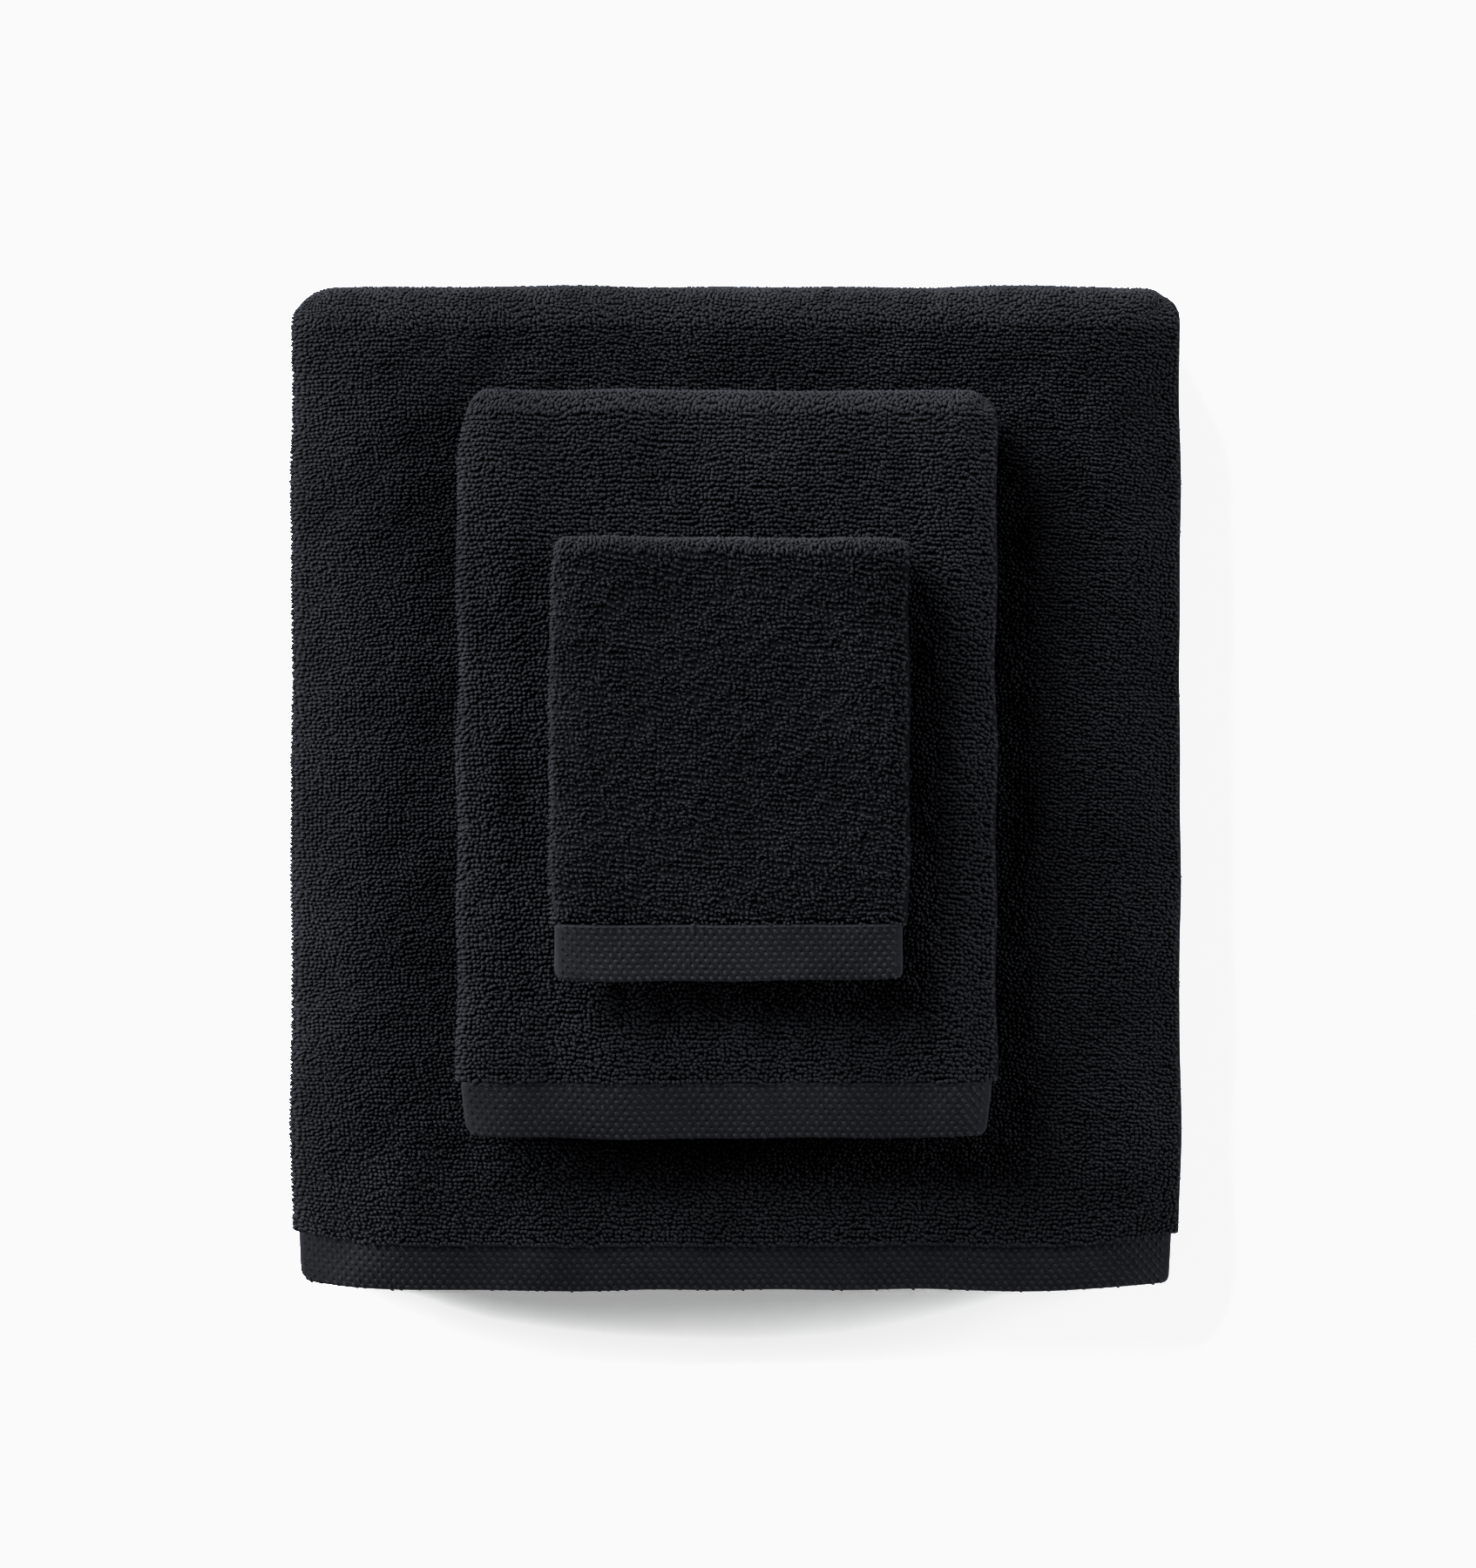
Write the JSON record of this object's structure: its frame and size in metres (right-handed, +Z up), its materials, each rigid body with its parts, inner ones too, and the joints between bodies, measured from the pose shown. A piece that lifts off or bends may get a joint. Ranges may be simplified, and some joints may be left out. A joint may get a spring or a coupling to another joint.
{
  "type": "bath towel set",
  "caption": "Folded black terry bath towel, hand towel and washcloth stacked by size, each with a flat woven border along its front edge.",
  "frame": {"origin": "bottom centre of the bounding box: the centre of the bath towel's underside, on the surface that the stack lies on", "axes": "+Z up out of the stack; +Y towards the back, where the cloths turn over their rolled folds, so -Y is the edge with the shown woven borders; +X towards the selvedges, so -X is the side folded across the width"},
  "size_m": [0.38, 0.43, 0.0766],
  "materials": {
    "terry": "matt black cotton terry, uncut loops on both faces",
    "side_hem": "black cotton selvedge, turned and sewn down",
    "border": "black cotton dobby weave, flat with small staggered bumps",
    "thread": "black polyester sewing thread, slight sheen",
    "label": "blank dark satin ribbon"
  },
  "bodies": {
    "bath_towel": {"bath_terry_cloth": "terry", "bath_outer_side_hem": "side_hem", "bath_inner_side_hem": "side_hem", "bath_outer_side_thread": "thread", "bath_inner_side_thread": "thread", "bath_shown_border": "border", "bath_shown_hem_thread": "thread", "bath_hidden_border": "border", "bath_hidden_hem_thread": "thread", "bath_care_label": "label"},
    "hand_towel": {"hand_terry_cloth": "terry", "hand_outer_side_hem": "side_hem", "hand_inner_side_hem": "side_hem", "hand_outer_side_thread": "thread", "hand_inner_side_thread": "thread", "hand_shown_border": "border", "hand_shown_hem_thread": "thread", "hand_hidden_border": "border", "hand_hidden_hem_thread": "thread", "hand_care_label": "label"},
    "washcloth_lower": {"washcloth_under_leaf": "terry", "washcloth_fold": "terry", "washcloth_under_outer_side_hem": "side_hem", "washcloth_under_inner_side_hem": "side_hem", "washcloth_under_outer_side_thread": "thread", "washcloth_under_inner_side_thread": "thread", "washcloth_hidden_border": "border", "washcloth_hidden_hem_thread": "thread", "washcloth_care_label": "label"},
    "washcloth_upper": {"washcloth_flap": "terry", "washcloth_flap_outer_side_hem": "side_hem", "washcloth_flap_inner_side_hem": "side_hem", "washcloth_flap_outer_side_thread": "thread", "washcloth_flap_inner_side_thread": "thread", "washcloth_shown_border": "border", "washcloth_shown_hem_thread": "thread"}
  },
  "joints": [
    {"name": "hand_towel_lift", "type": "slide", "parent": "bath_towel", "child": "hand_towel", "axis": [0, 0, 1], "range_m": [0, 0.25]},
    {"name": "washcloth_lift", "type": "slide", "parent": "hand_towel", "child": "washcloth_lower", "axis": [0, 0, 1], "range_m": [0, 0.25]},
    {"name": "washcloth_unfold", "type": "hinge", "parent": "washcloth_lower", "child": "washcloth_upper", "pos_m": [-0.0035, 0.10357, 0.0685], "axis": [-1, 0, 0], "range_deg": [0, 180]}
  ]
}
